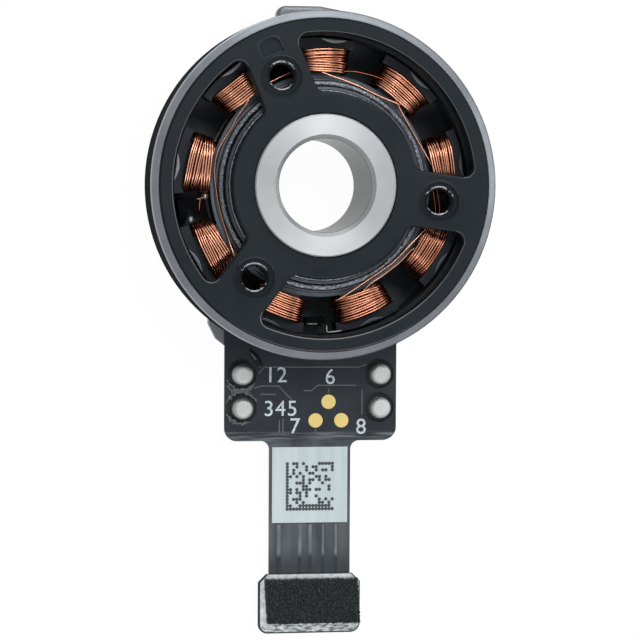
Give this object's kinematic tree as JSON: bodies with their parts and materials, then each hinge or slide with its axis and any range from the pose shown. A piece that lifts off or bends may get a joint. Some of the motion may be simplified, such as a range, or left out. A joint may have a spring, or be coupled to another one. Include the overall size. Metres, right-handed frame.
{
  "type": "gimbal motor",
  "caption": "Flat hollow-shaft outrunner motor with a spoked rotor cap, wound stator and a flexible circuit tail ending in a board plug.",
  "frame": {"origin": "centre of the hollow shaft in the plane of the rear face", "axes": "+Z along the rotor axis towards the spoked cap, the circuit tail points to -Y"},
  "size_m": [0.023, 0.0428, 0.0072],
  "materials": {
    "turned_sleeve": "satin turned",
    "black_cap": "satin black anodised",
    "grey_ring": "black coat with a bright-cut grey bevel",
    "spring_steel": "bright",
    "silver_base": "satin",
    "black_tube": "gloss black",
    "coated_core": "coated grey",
    "copper_wire": "enamelled copper",
    "board_stiffener": "matt",
    "flex_circuit": "satin cover film",
    "silver_pin": "satin",
    "gold_pad": "gold plated",
    "label": "coated label",
    "end_plate": "satin",
    "foam": "open foam",
    "plug_housing": "moulded",
    "sensor": "moulded",
    "magnet": "black epoxy coat",
    "bearing_steel": "ground",
    "bearing_cage": "moulded"
  },
  "bodies": {
    "stator": {"base_frame": "silver_base", "bearing_tube": "black_tube", "stator_core": "coated_core", "coil_1": "copper_wire", "coil_2": "copper_wire", "coil_3": "copper_wire", "coil_4": "copper_wire", "coil_5": "copper_wire", "coil_6": "copper_wire", "coil_7": "copper_wire", "coil_8": "copper_wire", "coil_9": "copper_wire", "phase_wire_1": "copper_wire", "phase_wire_2": "copper_wire", "phase_wire_3": "copper_wire", "board_stiffener": "board_stiffener", "flex_circuit": "flex_circuit", "board_pins": "silver_pin", "test_pads": "gold_pad", "tail_label": "label", "connector_stiffener": "end_plate", "foam_pad": "foam", "connector_housing": "plug_housing", "connector_contacts": "gold_pad", "hall_sensor_1": "sensor", "hall_sensor_2": "sensor", "front_bearing_outer_ring": "bearing_steel", "rear_bearing_outer_ring": "bearing_steel"},
    "rotor": {"hollow_shaft": "turned_sleeve", "rotor_cap": "black_cap", "rotor_ring": "grey_ring", "preload_washer": "spring_steel", "retaining_ring": "spring_steel", "front_bearing_inner_ring": "bearing_steel", "rear_bearing_inner_ring": "bearing_steel", "magnet_01": "magnet", "magnet_02": "magnet", "magnet_03": "magnet", "magnet_04": "magnet", "magnet_05": "magnet", "magnet_06": "magnet", "magnet_07": "magnet", "magnet_08": "magnet", "magnet_09": "magnet", "magnet_10": "magnet", "magnet_11": "magnet", "magnet_12": "magnet"},
    "front_cage": {"front_bearing_cage": "bearing_cage", "front_bearing_balls": "bearing_steel"},
    "rear_cage": {"rear_bearing_cage": "bearing_cage", "rear_bearing_balls": "bearing_steel"}
  },
  "joints": [
    {"name": "rotor_spin", "type": "hinge", "parent": "stator", "child": "rotor", "pos_m": [0, 0, 0], "axis": [0, 0, 1], "continuous": true},
    {"name": "front_cage_spin", "type": "hinge", "parent": "stator", "child": "front_cage", "pos_m": [0, 0, 0.00485], "axis": [0, 0, 1], "continuous": true},
    {"name": "rear_cage_spin", "type": "hinge", "parent": "stator", "child": "rear_cage", "pos_m": [0, 0, 0.00195], "axis": [0, 0, 1], "continuous": true}
  ],
  "couplings": [
    {"joint": "front_cage_spin", "follows": "rotor_spin", "ratio": 0.45},
    {"joint": "rear_cage_spin", "follows": "rotor_spin", "ratio": 0.45}
  ]
}
